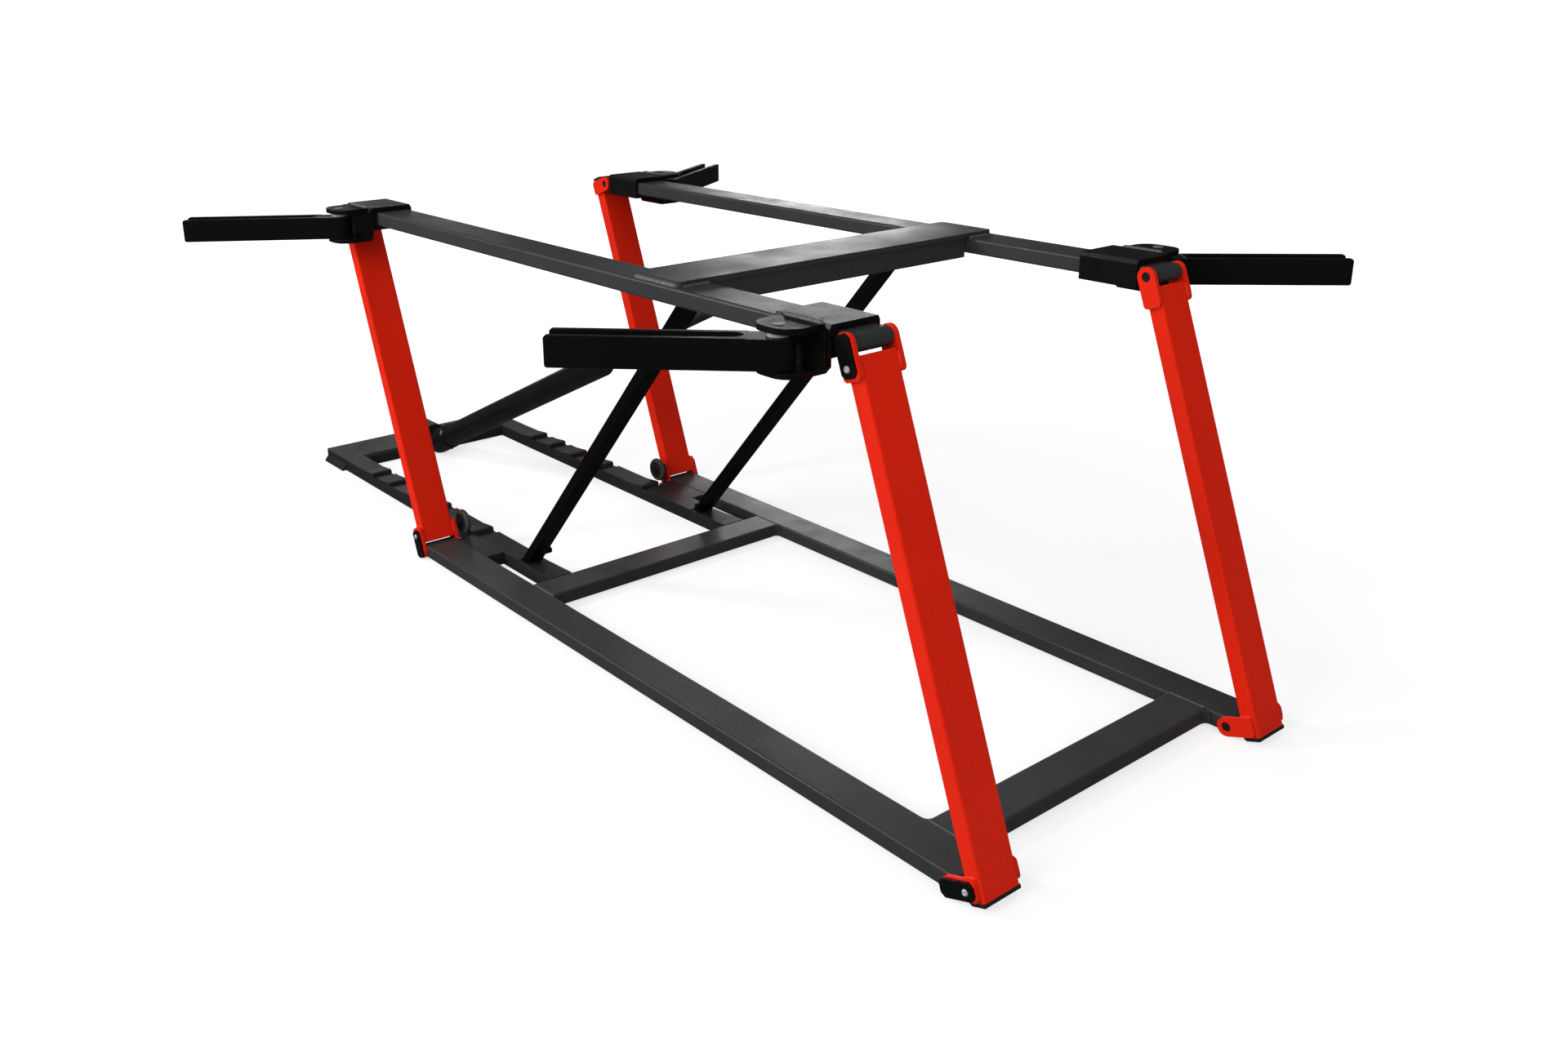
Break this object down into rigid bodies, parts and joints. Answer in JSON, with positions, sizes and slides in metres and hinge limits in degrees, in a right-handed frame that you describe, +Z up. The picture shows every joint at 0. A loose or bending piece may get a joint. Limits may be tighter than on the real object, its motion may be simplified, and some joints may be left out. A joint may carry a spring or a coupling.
{
  "type": "mobile low-rise vehicle lift",
  "caption": "Mobile low-rise vehicle lift: a flat base, folding parallelogram legs, a level top frame with swing arms, a screw spindle, safety struts on racks.",
  "frame": {"origin": "on the floor, below the middle of the middle crossbeam, at the underside of its rubber foot", "axes": "+X to the front, +Y to the left, +Z up"},
  "size_m": [3.2299, 1.9188, 1.0288],
  "materials": {
    "red_coat": "satin",
    "grey_coat": "fine texture",
    "black_coat": "fine texture",
    "steel": "oiled",
    "zinc": "zinc plated",
    "rubber": "matt",
    "wheel_plastic": "moulded"
  },
  "bodies": {
    "base": {"right_base_rail": "grey_coat", "left_base_rail": "grey_coat", "front_crossbeam": "grey_coat", "mid_crossbeam": "grey_coat", "rear_crossbeam": "black_coat", "right_rack": "black_coat", "left_rack": "black_coat", "right_rack_bridge": "grey_coat", "left_rack_bridge": "grey_coat", "base_feet": "rubber", "spindle_bracket": "black_coat", "spindle_hinge_pin": "steel"},
    "right_rear_leg_set": {"right_rear_leg": "red_coat", "right_rear_leg_pins": "steel", "right_rear_lock_plates": "black_coat", "right_rear_lock_bolts": "zinc", "right_rear_end_pad": "rubber", "right_wheel_axle": "zinc"},
    "left_rear_leg_set": {"left_rear_leg": "red_coat", "left_rear_leg_pins": "steel", "left_rear_lock_plates": "black_coat", "left_rear_lock_bolts": "zinc", "left_rear_end_pad": "rubber", "left_wheel_axle": "zinc"},
    "right_front_leg_set": {"right_front_leg": "red_coat", "right_front_leg_pins": "steel", "right_front_lock_plates": "black_coat", "right_front_lock_bolts": "zinc", "right_front_end_pad": "rubber"},
    "left_front_leg_set": {"left_front_leg": "red_coat", "left_front_leg_pins": "steel", "left_front_lock_plates": "black_coat", "left_front_lock_bolts": "zinc", "left_front_end_pad": "rubber"},
    "top_frame": {"right_top_bar": "grey_coat", "left_top_bar": "grey_coat", "top_crossbar": "grey_coat", "crossbar_plate": "grey_coat", "right_front_block": "black_coat", "left_front_block": "black_coat", "right_rear_block": "black_coat", "left_rear_block": "black_coat", "swing_pins": "zinc", "swing_washers": "zinc", "strut_lugs": "black_coat", "strut_pins": "steel", "spindle_fork": "black_coat", "fork_bolts": "zinc"},
    "right_front_swing": {"right_front_swing_arm": "black_coat"},
    "left_front_swing": {"left_front_swing_arm": "black_coat"},
    "right_rear_swing": {"right_rear_swing_arm": "black_coat"},
    "left_rear_swing": {"left_rear_swing_arm": "black_coat"},
    "right_safety_strut": {"right_strut": "black_coat"},
    "left_safety_strut": {"left_strut": "black_coat"},
    "spindle_outer": {"spindle_tube": "black_coat", "spindle_gland": "steel"},
    "spindle_inner": {"spindle_rod": "steel"},
    "right_transport_wheel": {"right_wheel": "wheel_plastic"},
    "left_transport_wheel": {"left_wheel": "wheel_plastic"}
  },
  "joints": [
    {"name": "lift_fold", "type": "hinge", "parent": "base", "child": "right_rear_leg_set", "pos_m": [-0.508, -0.455, 0.023], "axis": [0, -1, 0], "range_deg": [0, 69.61]},
    {"name": "left_rear_fold", "type": "hinge", "parent": "base", "child": "left_rear_leg_set", "pos_m": [-0.508, 0.455, 0.023], "axis": [0, -1, 0], "range_deg": [0, 69.61]},
    {"name": "right_front_fold", "type": "hinge", "parent": "base", "child": "right_front_leg_set", "pos_m": [1.58, -0.455, 0.023], "axis": [0, -1, 0], "range_deg": [0, 69.61]},
    {"name": "left_front_fold", "type": "hinge", "parent": "base", "child": "left_front_leg_set", "pos_m": [1.58, 0.455, 0.023], "axis": [0, -1, 0], "range_deg": [0, 69.61]},
    {"name": "top_frame_level", "type": "hinge", "parent": "right_rear_leg_set", "child": "top_frame", "pos_m": [-0.8147, -0.455, 0.9958], "axis": [0, -1, 0], "range_deg": [-69.61, 0]},
    {"name": "right_strut_fold", "type": "hinge", "parent": "top_frame", "child": "right_safety_strut", "pos_m": [0.6123, -0.315, 0.9796], "axis": [0, 1, 0], "range_deg": [0, 49.57]},
    {"name": "left_strut_fold", "type": "hinge", "parent": "top_frame", "child": "left_safety_strut", "pos_m": [0.6123, 0.315, 0.9796], "axis": [0, 1, 0], "range_deg": [0, 49.57]},
    {"name": "spindle_tilt", "type": "hinge", "parent": "base", "child": "spindle_outer", "pos_m": [-1.356, 0, 0.047], "axis": [0, 1, 0], "range_deg": [0, 25.42]},
    {"name": "spindle_slide", "type": "slide", "parent": "spindle_outer", "child": "spindle_inner", "axis": [0.904, 0, 0.4274], "range_m": [-0.91827, 0]},
    {"name": "right_front_swing", "type": "hinge", "parent": "top_frame", "child": "right_front_swing", "pos_m": [1.1733, -0.583, 0.9758], "axis": [0, 0, 1], "range_deg": [-45, 135]},
    {"name": "right_rear_swing", "type": "hinge", "parent": "top_frame", "child": "right_rear_swing", "pos_m": [-0.7147, -0.583, 0.9758], "axis": [0, 0, 1], "range_deg": [-55, 125]},
    {"name": "left_front_swing", "type": "hinge", "parent": "top_frame", "child": "left_front_swing", "pos_m": [1.1733, 0.583, 0.9758], "axis": [0, 0, 1], "range_deg": [-47, 133]},
    {"name": "left_rear_swing", "type": "hinge", "parent": "top_frame", "child": "left_rear_swing", "pos_m": [-0.7147, 0.583, 0.9758], "axis": [0, 0, 1], "range_deg": [-122, 58]},
    {"name": "right_wheel_spin", "type": "hinge", "parent": "right_rear_leg_set", "child": "right_transport_wheel", "pos_m": [-0.51294, -0.367, 0.07877], "axis": [0, 1, 0], "continuous": true},
    {"name": "left_wheel_spin", "type": "hinge", "parent": "left_rear_leg_set", "child": "left_transport_wheel", "pos_m": [-0.51294, 0.367, 0.07877], "axis": [0, 1, 0], "continuous": true}
  ],
  "couplings": [
    {"joint": "left_rear_fold", "follows": "lift_fold", "ratio": 1},
    {"joint": "right_front_fold", "follows": "lift_fold", "ratio": 1},
    {"joint": "left_front_fold", "follows": "lift_fold", "ratio": 1},
    {"joint": "top_frame_level", "follows": "lift_fold", "ratio": -1},
    {"joint": "right_strut_fold", "follows": "lift_fold", "ratio": 0.7121},
    {"joint": "left_strut_fold", "follows": "lift_fold", "ratio": 0.7121},
    {"joint": "spindle_tilt", "follows": "lift_fold", "ratio": 0.3652},
    {"joint": "spindle_slide", "follows": "lift_fold", "m_per_rad": -0.75584}
  ]
}
